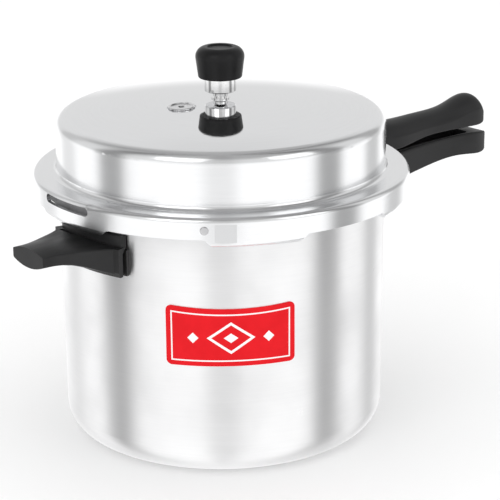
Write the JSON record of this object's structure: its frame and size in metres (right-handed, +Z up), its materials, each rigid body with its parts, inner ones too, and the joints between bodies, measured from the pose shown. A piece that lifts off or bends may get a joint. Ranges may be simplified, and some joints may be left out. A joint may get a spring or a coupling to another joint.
{
  "type": "stovetop pressure cooker",
  "caption": "Stovetop pressure cooker with a deep aluminium pan, an outer bayonet lid, a lift-off regulator weight, black long handles and a helper handle.",
  "frame": {"origin": "centre of the flat underside of the pan's base", "axes": "+Z up along the pan's axis; +X towards the tips of the two long handles; the helper handle is at -X"},
  "size_m": [0.4791, 0.296, 0.3064],
  "materials": {
    "pan": "satin polish",
    "lid": "bright polish",
    "bakelite": "satin",
    "bracket": "satin",
    "rivet": "satin",
    "screw": "polished",
    "gasket": "satin",
    "valve": "polished",
    "plug": "satin",
    "fuse": "dull",
    "badge": "semi-gloss"
  },
  "bodies": {
    "pan": {"body_pan": "pan", "badge": "badge", "body_handle": "bakelite", "body_handle_bracket": "bracket", "body_handle_rivets": "rivet", "body_handle_screw": "screw", "helper_handle": "bakelite", "helper_handle_bracket": "bracket", "helper_handle_rivets": "rivet", "helper_handle_screw": "screw"},
    "lid": {"lid": "lid", "gasket": "gasket", "lid_stop_rivet": "rivet", "lid_handle": "bakelite", "lid_handle_bracket": "bracket", "lid_handle_rivets": "rivet", "lid_handle_screw": "screw", "vent_tube": "valve", "vent_tube_washer": "gasket", "vent_tube_nut": "valve", "safety_plug_body": "plug", "safety_plug_core": "fuse", "safety_plug_washer": "gasket", "safety_plug_nut": "valve"},
    "weight": {"weight_body": "valve", "weight_pin": "valve", "weight_cap": "bakelite"}
  },
  "joints": [
    {"name": "lid_turn", "type": "hinge", "parent": "pan", "child": "lid", "pos_m": [0, 0, 0.2], "axis": [0, 0, -1], "range_deg": [0, 30]},
    {"name": "weight_lift", "type": "slide", "parent": "lid", "child": "weight", "axis": [0, 0, 1], "range_m": [0, 0.025]}
  ]
}
